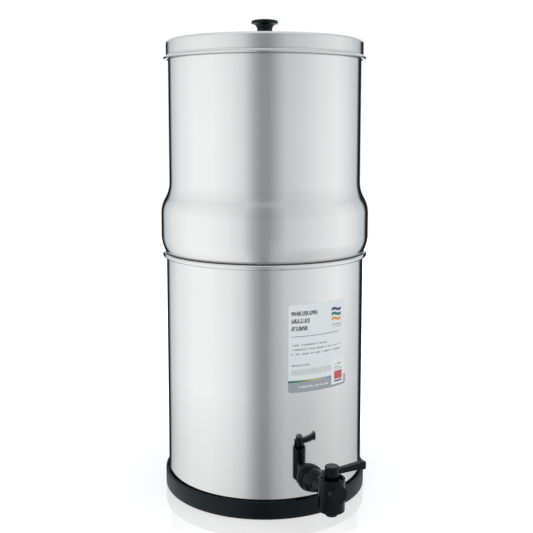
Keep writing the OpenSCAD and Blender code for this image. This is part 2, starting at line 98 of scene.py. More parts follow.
# %% [markdown]
# ## Turning a section on a lathe
#
# Spinning is how these shells are made in the factory too: a flat disc is pressed against a
# turning former. In Blender a section is drawn as a chain of points beside the axis. One plane
# is merged to a single point, the point is extruded from place to place, and the chain is
# spun round the axis. The seam is merged and the faces are turned outward at the end.
#
# Every finished piece then rides on a body of the model and may replace the solids that it
# stands for. The helper dress says both.

# %% Spinning helpers
SPIN_STEPS, SMOOTH_UNDER, MERGE_UNDER = 192, 35, 0.004


def start_fresh():
    """Leave edit mode and let go of everything that is selected"""
    if bpy.context.object and bpy.context.object.mode != "OBJECT":
        bpy.ops.object.mode_set(mode="OBJECT")
    bpy.ops.object.select_all(action="DESELECT")


def draw_chain(points):
    """Edit mode on one new chain of points, given in millimetres"""
    start_fresh()
    bpy.ops.mesh.primitive_plane_add(size=MM, location=(0, 0, 0))
    bpy.ops.object.mode_set(mode="EDIT")
    bpy.ops.mesh.merge(type="CENTER")
    bpy.ops.transform.translate(value=Vector(points[0]) * MM)
    for before, after in zip(points, points[1:]):
        step = (Vector(after) - Vector(before)) * MM
        bpy.ops.mesh.extrude_region_move(TRANSFORM_OT_translate={"value": step})


def finish_mesh(name, smooth_under=SMOOTH_UNDER):
    """Merge doubles, turn faces outward and name the piece"""
    bpy.ops.mesh.select_all(action="SELECT")
    bpy.ops.mesh.remove_doubles(threshold=MERGE_UNDER * MM)
    bpy.ops.mesh.normals_make_consistent(inside=False)
    bpy.ops.object.mode_set(mode="OBJECT")
    piece = bpy.context.object
    piece.name = piece.data.name = name
    bpy.ops.object.shade_smooth_by_angle(angle=math.radians(smooth_under))
    print(name, len(piece.data.vertices), "points")
    return piece


def spun(name, section, steps=SPIN_STEPS, smooth_under=SMOOTH_UNDER):
    """A piece turned from a section of (radius, height) points"""
    draw_chain([(radius, 0, height) for radius, height in section])
    bpy.ops.mesh.select_all(action="SELECT")
    bpy.ops.mesh.spin(steps=steps, angle=math.tau, center=(0, 0, 0), axis=(0, 0, 1))
    return finish_mesh(name, smooth_under)


def dress(piece, body, slot, *nodes):
    """Let a piece ride on its body and stand for the solids that it covers"""
    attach(piece, body)
    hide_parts(*nodes)


print("a full turn has", SPIN_STEPS, "steps, edges under", SMOOTH_UNDER, "degrees are smooth")

# %% [markdown]
# ## Lower chamber
#
# A straight drum with a rounded foot. Its top edge is rolled outward into a tube, which makes
# the thin sheet stiff and is the seat that the upper chamber rests on. The section runs up the
# outside, round the roll, and down the inside, so the wall has its real thickness.

# %% Spin the lower chamber
FLAT_R = 60
RIM_R, RIM_AT = 2.4, (109.6, 259.6)
WALL_TOP_Z, WALL_RINGS = 257, 12

outside = [(0, FLOOR_Z), (FLAT_R, FLOOR_Z)] + arc(FOOT_AT, FOOT_R, -90, 0)
outside += climb(WALL_R, FOOT_AT[1], WALL_TOP_Z, WALL_RINGS)
inside = climb(WALL_R - SHEET, WALL_TOP_Z, FOOT_AT[1], WALL_RINGS)
inside += arc(FOOT_AT, FOOT_R - SHEET, 0, -90)
inside += [(FLAT_R, FLOOR_Z + SHEET), (0, FLOOR_Z + SHEET)]
lower_shell = spun("lower_shell", outside + rolled(RIM_AT, RIM_R, 28) + inside)
dress(lower_shell, "lower", "polished_steel", "lower_chamber")

# %% [markdown]
# ## Upper chamber
#
# The upper drum is narrower, so that it can be turned over and stored inside the lower one. It
# swells into a belly that is as wide as the rim below, and the belly's rounded underside
# sits on the rolled rim. Two arcs that meet without a corner make the shoulder. Both faces of
# the sheet follow the same path, the inner one a sheet's thickness inside the outer.

# %% Spin the upper chamber
UPPER_R, UPPER_TOP_Z = 104.2, 486
BELLY_R, BELLY_FLOOR_Z, BELLY_TOP_Z = 113.3, 246.3, 304.3
BOWL_R, BOWL_FLAT_R = 34, 40
BOWL_AT = (BELLY_R - BOWL_R, BELLY_FLOOR_Z + BOWL_R)
SHOULDER_R, SHOULDER_TURN, SHOULDER_TOP_Z = 34.04, 29.96, 338.3
SWELL_AT = (BELLY_R - SHOULDER_R, BELLY_TOP_Z)
NECK_AT = (UPPER_R + SHOULDER_R, SHOULDER_TOP_Z)
LIP_R, LIP_AT = 0.9, (104.3, 486.4)


def upper_side(inset):
    """One face of the upper chamber's sheet, from its floor to just under its lip"""
    path = [(0, BELLY_FLOOR_Z + inset), (BOWL_FLAT_R, BELLY_FLOOR_Z + inset)]
    path += arc(BOWL_AT, BOWL_R - inset, -90, 0, 28)
    path += climb(BELLY_R - inset, BOWL_AT[1], BELLY_TOP_Z, 4)
    path += arc(SWELL_AT, SHOULDER_R - inset, 0, SHOULDER_TURN, 14)
    path += arc(NECK_AT, SHOULDER_R + inset, 180 + SHOULDER_TURN, 180, 14)[1:]
    return path + climb(UPPER_R - inset, SHOULDER_TOP_Z, UPPER_TOP_Z, 8)


upper_section = upper_side(0) + rolled(LIP_AT, LIP_R, 14) + upper_side(SHEET)[::-1]
upper_shell = spun("upper_shell", upper_section)
dress(upper_shell, "upper", "polished_steel", "upper_chamber")

# %% [markdown]
# ## Lid
#
# The lid is a shallow pressed dish that drops over the upper chamber. Its lower edge is curled
# out into a thin bead, which catches a bright line all the way round, and its top rises
# gently to a flat seat for the knob. A small hollow joins the bead to the skirt above it. It
# touches both, which gives its centre and the angle at which the two curves meet.

# %% Spin the lid
LID_IN_R, LID_R = 105.55, 106.35
LID_TOP_Z, EDGE_R = 489.0, 3.6
EDGE_AT = (LID_R - EDGE_R, LID_TOP_Z - EDGE_R)
SEAT_R, DOME_RISE, DOME_STEPS = 13, 2.4, 20
SEAT_Z = LID_TOP_Z + DOME_RISE
BEAD_R, BEAD_AT = 1.4, (107.75, 470.2)
HOLLOW_R, SKIRT_Z = 1.5, 473


def dome(inset):
    """Top of the lid from its edge to the knob's seat"""
    path = []
    for step in range(DOME_STEPS + 1):
        run = 1 - step / DOME_STEPS
        rise = DOME_RISE * (1 - run * run)
        path.append((SEAT_R + (EDGE_AT[0] - SEAT_R) * run, LID_TOP_Z + rise - inset))
    return path


reach, aside = BEAD_R + HOLLOW_R, LID_R + HOLLOW_R - BEAD_AT[0]
hollow_at = (BEAD_AT[0] + aside, BEAD_AT[1] + math.sqrt(reach ** 2 - aside ** 2))
hollow_turn = math.degrees(math.acos(aside / reach))
lid_section = [(0, SEAT_Z - SHEET)] + dome(SHEET)[::-1]
lid_section += arc(EDGE_AT, EDGE_R - SHEET, 90, 0, 12)[1:] + [(LID_IN_R, BEAD_AT[1] - BEAD_R)]
lid_section += arc(BEAD_AT, BEAD_R, -90, hollow_turn, 20)
lid_section += arc(hollow_at, HOLLOW_R, 180 + hollow_turn, 180, 8)[1:]
lid_section += climb(LID_R, SKIRT_Z, EDGE_AT[1], 4) + arc(EDGE_AT, EDGE_R, 0, 90, 14)
lid_section += dome(0)[1:] + [(0, SEAT_Z)]
lid_shell = spun("lid_shell", lid_section)
dress(lid_shell, "lid", "polished_steel", "lid")

# %% [markdown]
# ## Base ring
#
# A moulded rubber ring is pushed on under the drum. It has a lip that the drum stands on, a
# wall that hugs the sheet, and rounded edges where the mould met. A narrow groove is left
# between its top edge and the drum, and shows as a black line.

# %% Spin the base ring
RING_IN_R, RING_R, RING_TOP_Z, CORNER_R = 92, 111.5, 19.5, 1.5
groove = [(109.7, 19.3), (109.3, 18.6), (109.1, 15.5), (WALL_R, 15.5)]

ring_section = [(RING_IN_R, 0)] + arc((RING_R - CORNER_R, CORNER_R), CORNER_R, -90, 0, 8)
ring_section += arc((RING_R - CORNER_R, RING_TOP_Z - CORNER_R), CORNER_R, 0, 90, 8) + groove
ring_section += arc(FOOT_AT, FOOT_R, 0, -90, 10) + [(RING_IN_R, FLOOR_Z), (RING_IN_R, 0)]
foot_ring = spun("foot_ring", ring_section)
dress(foot_ring, "lower", "black_rubber", "base_ring")

# %% [markdown]
# ## Lid knob
#
# The knob is a mushroom of moulded plastic: a foot, a waist that flares under the cap, and a
# cap with a softened edge and a slightly domed top. Its heights are measured from the seat on
# the lid. It is small, so it needs fewer steps round, and its soft edges stay smooth.

# %% Spin the knob
WAIST_R, FLARE_R, FLARE_Z, FLARE_SHARE = 8.15, 6, 10, 0.98
CROWN_R, CROWN_TOP_Z, CROWN_DROP, CROWN_STEPS = 13.5, 21.3, 1.75, 8
KNOB_STEPS, KNOB_SMOOTH_UNDER = 96, 50
knob_foot = [(0, 0), (9.1, 0), (9.45, 0.4), (9.45, 1.5), (WAIST_R, 3)]
cap_edge = [(13.7, 16), (14.2, 16.3), (14.4, 16.8), (14.4, 18.2), (14.25, 18.9), (13.8, 19.4)]

flare_stop = 180 - math.degrees(math.asin(FLARE_SHARE))
knob_section = knob_foot + arc((WAIST_R + FLARE_R, FLARE_Z), FLARE_R, 180, flare_stop, 12)
knob_section += cap_edge
for crown_step in range(CROWN_STEPS + 1):
    run = 1 - crown_step / CROWN_STEPS
    knob_section.append((CROWN_R * run, CROWN_TOP_Z - CROWN_DROP * run * run))
knob_section = [(radius, SEAT_Z + height) for radius, height in knob_section]
knob = spun("knob", knob_section, KNOB_STEPS, KNOB_SMOOTH_UNDER)
dress(knob, "lid", "black_plastic", "lid_knob")

# %% [markdown]
# ## Label
#
# The label is a coated sticker with rounded corners. It starts as a flat plate: its corners
# are bevelled, it is cut into narrow strips so that it can follow the wall, and it is stood
# upright. A Simple Deform modifier then bends it to the drum's radius, it is moved out to the
# wall and turned to its side of the tap, and a Solidify modifier gives it its thickness.

# %% Cut the flat sticker
LABEL_W, LABEL_H, LABEL_Z, LABEL_R = 72.4, 90.0, 131.0, 108.1
LABEL_TURN = math.radians(6.4)
LABEL_CORNER_R, STRIPS, PAPER = 3, 30, 0.15

start_fresh()
bpy.ops.mesh.primitive_plane_add(size=1)
bpy.ops.object.mode_set(mode="EDIT")
bpy.ops.transform.resize(value=(LABEL_W * MM, LABEL_H * MM, 1))
bpy.ops.mesh.bevel(offset=LABEL_CORNER_R * MM, segments=8, affect="VERTICES")
for strip in range(1, STRIPS):
    bpy.ops.mesh.select_all(action="SELECT")
    cut_x = (strip / STRIPS - 0.5) * LABEL_W * MM
    bpy.ops.mesh.bisect(plane_co=(cut_x, 0, 0), plane_no=(1, 0, 0))
bpy.ops.mesh.select_all(action="SELECT")
bpy.ops.transform.rotate(value=math.radians(-90), orient_axis="X", center_override=(0, 0, 0))
bpy.ops.object.mode_set(mode="OBJECT")
sticker = bpy.context.object
print("flat sticker", LABEL_W, "by", LABEL_H, "mm in", STRIPS, "strips")

# %% Bend it round the wall
bend = sticker.modifiers.new("bend", "SIMPLE_DEFORM")
bend.deform_method, bend.deform_axis, bend.angle = "BEND", "Z", LABEL_W / LABEL_R
bpy.ops.object.modifier_apply(modifier="bend")
start_fresh()
bpy.ops.object.mode_set(mode="EDIT")
bpy.ops.mesh.select_all(action="SELECT")
bpy.ops.transform.translate(value=(0, -LABEL_R * MM, (LABEL_Z + LABEL_H / 2) * MM))
bpy.ops.transform.rotate(value=-LABEL_TURN, orient_axis="Z", center_override=(0, 0, 0))
bpy.ops.object.mode_set(mode="OBJECT")
paper = sticker.modifiers.new("paper", "SOLIDIFY")
paper.thickness, paper.offset = PAPER * MM, 1
bpy.ops.object.modifier_apply(modifier="paper")
bpy.ops.object.mode_set(mode="EDIT")
finish_mesh("sticker")
dress(sticker, "lower", "label_paper", "label")

# %% [markdown]
# ## Writing materials as sums
#
# A procedural material is arithmetic on coordinates, so it reads best as arithmetic. Link
# wraps one output socket, and its operators add the Math nodes. A mask is a value that is 1
# where something shows and 0 elsewhere, so two masks are joined by taking the larger.

# %% A socket that does sums
class Link:
    """An output socket that Python's operators work on"""

    def __init__(self, finish, socket):
        self.finish, self.socket = finish, socket

    def __add__(self, other):
        return self.finish.maths("ADD", self, other)

    def __sub__(self, other):
        return self.finish.maths("SUBTRACT", self, other)

    def __rsub__(self, other):
        return self.finish.maths("SUBTRACT", other, self)

    def __mul__(self, other):
        return self.finish.maths("MULTIPLY", self, other)

    def __lt__(self, other):
        return self.finish.maths("LESS_THAN", self, other)

    def __gt__(self, other):
        return self.finish.maths("GREATER_THAN", self, other)

    def __abs__(self):
        return self.finish.maths("ABSOLUTE", self)

    __radd__, __rmul__ = __add__, __mul__

    def or_else(self, other):
        """The larger of two values, which joins two masks"""
        return self.finish.maths("MAXIMUM", self, other)


print("a link understands + - * < > and abs, and or_else joins two masks")

# %% [markdown]
# Finish makes a material, and adds every node that isn't a sum through one method. Its other
# methods only name the nodes that these finishes use often. The colour sockets of a Mix node
# share their names with its number sockets, so they are reached by their places. A material
# that is complete files itself in finishes, under the name of its slot.

# %% A material that grows nodes
MIX_START, MIX_END, MIX_COLOUR = 6, 7, 2
BLACK, WHITE = (0, 0, 0), (1, 1, 1)
finishes = {}


class Finish:
    """One material, built node by node"""

    def __init__(self, name):
        self.name = name
        self.material = bpy.data.materials.new(name)
        self.material.use_nodes = True
        self.tree = self.material.node_tree
        self.tree.nodes.clear()

    def add(self, kind, settings=None, sockets=None, out=0):
        """Any node: its settings first, then the values or links of its sockets"""
        node = self.tree.nodes.new("ShaderNode" + kind)
        for key, value in (settings or {}).items():
            if key == "stops":
                ramp = node.color_ramp.elements
                while len(ramp) < len(value):
                    ramp.new(1)
                for stop, (place, colour) in zip(ramp, value):
                    stop.position, stop.color = place, (*colour, 1)
            else:
                setattr(node, key, value)
        for key, value in (sockets or {}).items():
            if isinstance(value, Link):
                self.tree.links.new(value.socket, node.inputs[key])
            elif isinstance(value, tuple) and node.inputs[key].type == "RGBA":
                node.inputs[key].default_value = (*value, 1)
            else:
                node.inputs[key].default_value = value
        return Link(self, node.outputs[out]) if node.outputs else None

    def maths(self, operation, *values):
        """A Math node, also for what has no operator, such as a sine"""
        return self.add("Math", {"operation": operation}, dict(enumerate(values)))

    def place(self, scale=(1, 1, 1), turn=0):
        """Object coordinates in millimetres, stretched and turned about the axis"""
        here = self.add("TexCoord", out="Object")
        size = tuple(part / MM for part in scale)
        return self.add("Mapping", {}, {"Vector": here, "Scale": size, "Rotation": (0, 0, turn)})

    def apart(self, vector):
        """The x, y and z of a vector"""
        first = self.add("SeparateXYZ", {}, {0: vector})
        return [Link(self, socket) for socket in first.socket.node.outputs]

    def noise(self, where, scale, detail=2.0, rough=0.5):
        """Cloudy noise between 0 and 1"""
        return self.add("TexNoise", {}, {
            "Vector": where, "Scale": scale, "Detail": detail, "Roughness": rough})

    def fade(self, value, start, stop, low=0.0, high=1.0):
        """A value that goes from low to high while another goes from start to stop"""
        return self.add("MapRange", {}, {
            "Value": value, "From Min": start, "From Max": stop, "To Min": low, "To Max": high})

    def blend(self, mask, start, end):
        """Colour that runs from start to end as the mask goes from 0 to 1"""
        sockets = {0: mask, MIX_START: start, MIX_END: end}
        return self.add("Mix", {"data_type": "RGBA"}, sockets, out=MIX_COLOUR)

    def rounded(self, radius):
        """The surface's direction, softened near its edges"""
        return self.add("Bevel", {"samples": 6}, {"Radius": radius * MM})

    def bump(self, height, distance, strength=1.0, under=None):
        """Fine relief on the surface, or on another direction that lies under it"""
        sockets = {"Height": height, "Distance": distance * MM, "Strength": strength}
        if under:
            sockets["Normal"] = under
        return self.add("Bump", {}, sockets)

    def layered(self, mask, under, over):
        """One shader over another, where the mask says"""
        return self.add("MixShader", {}, {0: mask, 1: under, 2: over})

    def surface(self, **sockets):
        """End the material in one Principled shader"""
        names = {key.replace("_", " ").title(): value for key, value in sockets.items()}
        if "Specular" in names:
            names["Specular IOR Level"] = names.pop("Specular")
        return self.complete(self.add("BsdfPrincipled", {}, names))

    def complete(self, shader):
        """Give the material its last node and file it"""
        self.add("OutputMaterial", {}, {"Surface": shader})
        finishes[self.name] = self.material
        print(self.name, len(self.tree.nodes), "nodes")
        return self.material


print("finishes filed so far:", len(finishes))

# %% [markdown]
# ## Polished steel
#
# The sheet is polished on a lathe, so what is left of the wheel's marks runs round the drum.
# The noise is squeezed along the height, which draws it out into fine rings. It moves the
# roughness a little and the bump hardly at all, since the steel has to stay a mirror.
#
# Painted shade darkens the steel in a thin brownish line wherever two pieces nearly touch. The
# inside is never polished: wherever a face looks toward the axis, or up from a floor, it is
# satin. The lid has been wiped more often than the drums, so it has more haze and a slightly
# deeper tone.

# %% Steel
WORN_STEEL, BRIGHT_STEEL = (0.831, 0.834, 0.838), (0.871, 0.874, 0.878)
# The brownish colour of the painted shade lines where two pieces nearly touch
PAINTED_SHADE = (0.07, 0.06, 0.045)
WHEEL_MARKS, FINE_MARKS = (0.02, 0.02, 4), (0.05, 0.05, 9)
POLISH, SATIN, SATIN_LOSS = 0.035, 0.3, 0.5
INNER_FLOORS_UNDER_Z, INWARD, UPWARD = 250.0, -0.01, 0.9


def polished_steel(name, haze, tone, *shade_lines):
    """Steel with a haze from 0 up, a tone up to 1, and painted shade lines as (height, reach,
    depth)
    """
    steel = Finish(name)
    rings = steel.noise(steel.place(WHEEL_MARKS), 1.0, 3.0)
    cloud = steel.noise(steel.place(), 0.02, 3.0, 0.6)
    fine = steel.noise(steel.place(FINE_MARKS), 1.0)
    worn, bright = [tuple(part * tone for part in shade) for shade in (WORN_STEEL, BRIGHT_STEEL)]
    colour = steel.blend(cloud, worn, bright)
    x, y, z = steel.apart(steel.place())
    # Each line is painted shade: a brownish darkening in a band of heights near a joint
    for height, reach, depth in shade_lines:
        colour = steel.blend(steel.fade(abs(z - height), reach, 0.0, high=depth), colour, PAINTED_SHADE)
    aside, along, upward = steel.apart(steel.add("NewGeometry", out="Normal"))
    inner_wall = aside * x + along * y < INWARD
    inner = inner_wall.or_else((upward > UPWARD) * (z < INNER_FLOORS_UNDER_Z))
    return steel.surface(
        base_color=colour, metallic=1.0 - inner * SATIN_LOSS,
        roughness=POLISH + haze + rings * 0.03 + cloud * 0.03 + inner * SATIN,
        normal=steel.bump(fine, 0.002, 0.03))


# The lines below are painted shade under the rolled rim, the belly, and the lid's bead and brim
polished_steel("polished_steel", 0.0, 1.0, (257.1, 1.0, 0.55))
polished_steel("belly_steel", 0.0, 1.0, (262.3, 3.6, 0.72), (468.3, 0.9, 0.5))
polished_steel("lid_steel", 0.08, 0.94, (469.0, 0.8, 0.3), (473.4, 0.6, 0.3))

# %% [markdown]
# ## Black rubber and black plastic
#
# Both are moulded, and neither is pure black: skin oil and dust lift the colour in faint
# clouds, and a fine grain from the mould breaks up the highlights. Rubber is a little softer
# and duller. A Bevel node rounds the sharp edges, so that they catch a thin line of light.

# %% Rubber and plastic
MOULD_GRAIN, COOL_GLOSS = 0.02, (0.72, 0.88, 1.0)


def moulded(name, dark, pale, rough, edge, gloss):
    """A moulded skin between two shades, with a roughness, an edge radius and a gloss"""
    skin = Finish(name)
    cloud = skin.noise(skin.place(), 0.12, 3.0, 0.6)
    pores = skin.noise(skin.place(), 3.0)
    return skin.surface(
        base_color=skin.blend(cloud, dark, pale),
        specular=gloss, specular_tint=COOL_GLOSS,
        roughness=rough + cloud * 0.12 + pores * 0.06,
        normal=skin.bump(pores, MOULD_GRAIN, 0.35, skin.rounded(edge)))


moulded("black_rubber", (0.0005, 0.0012, 0.0017), (0.0018, 0.003, 0.0037), 0.32, 0.3, 0.29)
moulded("black_plastic", (0.0005, 0.0008, 0.0014), (0.0017, 0.0022, 0.0034), 0.14, 0.45, 0.28)

# %% [markdown]
# ## Label paper
#
# The print is generic: grey bars stand where a label has its words, with three wavy lines, a
# thin rule, a grey footer under a coloured stripe, and a white panel with two plain blocks.
# Each bar is a rectangle on the label, given as its left and right edge and its low and high
# edge in millimetres from the label's lower left corner.

# %% Where the print stands
MARGIN = 3.0
TITLE = [(MARGIN, 32, 78.8, 83.3), (MARGIN, 22.8, 71.2, 75.7), (MARGIN, 20.4, 63.5, 68)]
TEXT = [(MARGIN, 44, 48, 49.6), (MARGIN, 64, 43.4, 45), (MARGIN, 63, 38.8, 40.4),
        (MARGIN, 24, 27.2, 28.8)]
SMALL = [(51, 66, 65, 66.2), (53, 64, 62.4, 63.6), (54.5, 65, 22.8, 24.4)]
CAPTION = [(54.5, 66.5, 19.4, 20.6), (54.5, 66.5, 17.4, 18.4)]
RULE, GREY_BOX = (MARGIN, 61, 57.2, 58.1), (MARGIN, 52, 17.6, 24)
FOOTER, FOOTER_TEXT, STRIPE = (0, LABEL_W, 0, 10.6), (11, 46, 4.4, 6.4), (0, 53, 10.6, 12.6)
PANEL, RED_BLOCK, BLUE_BLOCK = (50.5, 69, 2.4, 28), (54.5, 66.5, 7.4, 16), (54.5, 66.5, 4.6, 6.4)
WAVE_FIELD, WAVE_HALF, WAVE_SWAY, WAVE_RATE = (50, 64, 60, 90), 1.5, 0.8, 0.45
WAVES = [(81.5, (0.07, 0.07, 0.2)), (76.5, (0.04, 0.2, 0.15)), (71.5, (0.7, 0.34, 0.1))]
STRIPE_HUES = [
    (0.0, (0.01, 0.07, 0.11)), (0.06, (0.03, 0.13, 0.16)), (0.2, (0.1, 0.28, 0.15)),
    (0.32, (0.42, 0.37, 0.18)), (0.46, (0.6, 0.38, 0.22)), (0.56, (0.35, 0.36, 0.38)),
    (0.66, (0.12, 0.34, 0.54))]
INK, TITLE_INK, RULE_INK, BOX_INK = (
    (0.16, 0.17, 0.185), (0.11, 0.115, 0.125), (0.27, 0.29, 0.31), (0.42, 0.44, 0.46))
FOOTER_INK, FOOTER_TEXT_INK = (0.33, 0.36, 0.385), (0.72, 0.75, 0.77)
PANEL_INK = (0.8, 0.82, 0.83)
CAPTION_INK, RED_INK, BLUE_INK = (0.16, 0.4, 0.5), (0.55, 0.09, 0.1), (0.06, 0.13, 0.26)
PAPER_SHADES = (0.725, 0.768, 0.79), (0.755, 0.8, 0.82)
print("print:", len(TITLE + TEXT + SMALL + CAPTION), "bars and", len(WAVES), "wavy lines")

# %% [markdown]
# Each shape is a mask on two coordinates: the distance round the wall, which is the angle
# about the axis times the radius, and the height above the label's lower edge. Noise that is
# stretched upward breaks the bars, so that they look like lines of type without being any.
# The masks are then laid over the paper one after another, each in its own ink.

# %% The label's print
def printed_label():
    """Label paper with its generic print"""
    label = Finish("label_paper")
    x, y, z = label.apart(label.place(turn=math.radians(90) - LABEL_TURN))
    across = label.maths("ARCTAN2", y, x) * LABEL_R + LABEL_W / 2
    up = z - LABEL_Z

    def bars(*places):
        """Mask of all the bars that are given"""
        joined = None
        for left, right, low, high in places:
            bar = abs(across - (left + right) / 2) < (right - left) / 2
            bar *= abs(up - (low + high) / 2) < (high - low) / 2
            joined = joined.or_else(bar) if joined else bar
        return joined

    def broken(along, upward, detail, above):
        """Mask of noise that changes at two rates, along and up the label"""
        where = label.add("CombineXYZ", {}, {"X": across * along, "Y": up * upward})
        return label.noise(where, 1.0, detail) > above

    letters, strokes = broken(0.55, 0.22, 1.0, 0.44), broken(0.8, 0.25, 2.0, 0.45)
    small = bars(*SMALL) * letters
    panel = bars(PANEL)
    hues = label.add("ValToRGB", {"stops": STRIPE_HUES}, {"Fac": across * (1 / LABEL_W)})
    layers = [
        (bars(RULE) * 0.85, RULE_INK), (bars(GREY_BOX) * (0.25 + letters * 0.2), BOX_INK),
        (bars(*TITLE) * strokes * 0.9, TITLE_INK),
        ((bars(*TEXT) * letters).or_else(small) * 0.65, INK),
        (bars(FOOTER), FOOTER_INK), (bars(FOOTER_TEXT) * letters * 0.7, FOOTER_TEXT_INK),
        (bars(STRIPE), hues), (panel, PANEL_INK), (small * panel * 0.7, INK),
        (bars(*CAPTION) * letters * 0.8, CAPTION_INK),
        (bars(RED_BLOCK), RED_INK), (bars(BLUE_BLOCK), BLUE_INK)]
    sway = label.maths("SINE", (across - WAVE_FIELD[0]) * WAVE_RATE) * WAVE_SWAY
    for level, hue in WAVES:
        layers.append((bars(WAVE_FIELD) * (abs(up - sway - level) < WAVE_HALF), hue))

    fleck = label.noise(label.place(), 0.5, 3.0)
    colour = label.blend(fleck, *PAPER_SHADES)
    for mask, ink in layers:
        colour = label.blend(mask, colour, ink)
    return label.surface(
        base_color=colour, roughness=0.32 + fleck * 0.1, normal=label.bump(fleck, 0.01, 0.2))


printed_label()

# %% [markdown]
# ## Finishes seen when the filter is opened
#
# Lifting the upper chamber and the lid shows the candles, their stems and nuts, and the screw
# under the knob. The ceramic is chalky and porous, and the carbon is pressed grains.

# %% Ceramic and carbon
def chalky_ceramic():
    """Matt ceramic with fine pores and faint stains"""
    clay = Finish("white_ceramic")
    speck = clay.noise(clay.place(), 0.9, 4.0, 0.7)
    stain = clay.noise(clay.place((1, 1, 0.4)), 0.05, 3.0)
    return clay.surface(
        base_color=clay.blend(stain, (0.84, 0.81, 0.74), (0.77, 0.73, 0.65)),
        roughness=0.75 + speck * 0.2, normal=clay.bump(speck, 0.12, 0.5))


def pressed_carbon():
    """Black grains pressed into a block"""
    coal = Finish("carbon_block")
    grain = coal.add("TexVoronoi", {}, {"Vector": coal.place(), "Scale": 1.1})
    return coal.surface(
        base_color=coal.blend(grain, (0.016, 0.016, 0.017), (0.05, 0.05, 0.052)),
        roughness=0.7 + grain * 0.25, normal=coal.bump(grain, 0.3, 0.8))


chalky_ceramic()
pressed_carbon()

# %% [markdown]
# The stems carry a moulded thread, drawn as a bump that climbs as it goes round each stem: the
# turn about the stem and the height in pitches are added, and the sum runs up and down once a
# turn. The thread ends under the upper chamber's floor.

# %% White plastic and plated steel
STEM_X, THREAD_PITCH, THREAD_TOP_Z, THREAD_DEPTH = 46, 1.75, 246.2, 1.2


def threaded_plastic():
    """White plastic, threaded where it is a stem"""
    white = Finish("white_plastic")
    x, y, z = white.apart(white.place())
    turns = white.maths("ARCTAN2", y, abs(x) - STEM_X) * (1 / math.tau)
    thread = white.maths("PINGPONG", turns + z * (1 / THREAD_PITCH), 0.5) * (z < THREAD_TOP_Z)
    cloud = white.noise(white.place(), 0.15, 3.0)
    return white.surface(
        base_color=white.blend(cloud, (0.78, 0.79, 0.80), (0.84, 0.845, 0.85)),
        roughness=0.33 + cloud * 0.12,
        normal=white.bump(thread, THREAD_DEPTH, 1.0, white.rounded(0.5)))


def plated_steel():
    """A plated screw, scuffed by the driver"""
    plate = Finish("plated_screw")
    scuff = plate.noise(plate.place(), 2.0, 3.0)
    return plate.surface(
        base_color=plate.blend(scuff, (0.66, 0.66, 0.68), (0.76, 0.76, 0.77)), metallic=1.0,
        roughness=0.16 + scuff * 0.14, normal=plate.bump(scuff, 0.01, 0.3))


threaded_plastic()
plated_steel()

# %% [markdown]
# ## Handing out the finishes
#
# The new pieces get theirs by name. The solids that stay visible, such as the tap and the
# candles, take the finish of the slot that the record gives them.

# %% Give every piece its finish
own_pieces = {
    lower_shell: "polished_steel", upper_shell: "belly_steel", lid_shell: "lid_steel",
    foot_ring: "black_rubber", knob: "black_plastic", sticker: "label_paper"}
for piece, slot in own_pieces.items():
    piece.data.materials.clear()
    piece.data.materials.append(finishes[slot])
for row in frame["record"]["subparts"]:
    for place in frame["nodes"][row["node"]].material_slots:
        place.material = finishes[row["material_slot"]]
print("finishes:", ", ".join(finishes))

# %% [markdown]
# ## The studio
#
# Polished steel has no look of its own: it shows the room. The room is a light tent, a round
# wall of cloth that is bright at the sides and dim where the camera looks in, with two dark
# gaps far round the back that draw the thin dark lines along the steel's edges. A disc of the
# same cloth lies just over the floor and another closes the top. The camera doesn't see the
# tent, and its cloth is clear from outside.
#
# The levels are given by the angle in which the drum mirrors them, counted from the camera.
# Each spot of cloth stands at a smaller angle than that, because the drum's wall mirrors it
# from a little beside the axis. Two passes of a correction turn the one angle into the other.

# %% Levels of light round the tent
TENT_R, TENT_TOP, TENT_LIFT = 2.2, 2.6, 0.002
VIEW_TURN = -25.4
BRIGHTEST = 1.06
EDGE_TURN = 130
DIM_TINT, EDGE_TINT = (0.008, 0.016), (0.035, 0.02)
LEVELS = [
    (-180, 1.0), (-166, 1.0), (-140, 0.66), (-120, 0.88), (-90, 1.01), (-64, 1.01),
    (-40, 0.91), (-24, 0.76), (-12, 0.45), (-4, 0.325), (5, 0.325), (14, 0.47), (24, 0.64),
    (44, 0.73), (70, 0.87), (92, 0.95), (112, 0.84), (136, 0.64), (166, 1.0), (180, 1.0)]


def cool(light, edge):
    """A light level as a colour, a little blue where it is dim and at the drum's edges"""
    share = light / BRIGHTEST
    red, blue = [dim * (1 - share) + rim * edge for dim, rim in zip(DIM_TINT, EDGE_TINT)]
    return share - red, share, share + blue


def mirrored_angle(cloth, x, y, out):
    """Degrees from the camera at which the drum mirrors each spot of the cloth"""
    around = cloth.maths("ARCTAN2", y, x)
    near = cloth.maths("DIVIDE", WALL_R, out)
    lean = around
    for _ in range(2):
        lean = around + cloth.maths("ARCSINE", cloth.maths("SINE", lean * 0.5) * near)
    return lean * math.degrees(1)


print("levels at", len(LEVELS), "angles, the brightest", max(light for angle, light in LEVELS))

# %% [markdown]
# The levels are then adjusted where one tone round the whole height isn't enough: the cloth
# gets greyer toward its top, the disc over the floor dims close to the drum and on the right,
# and a strip of it in front is a little brighter. Each adjustment fades in between two angles
# in degrees, or between two heights or distances in millimetres.

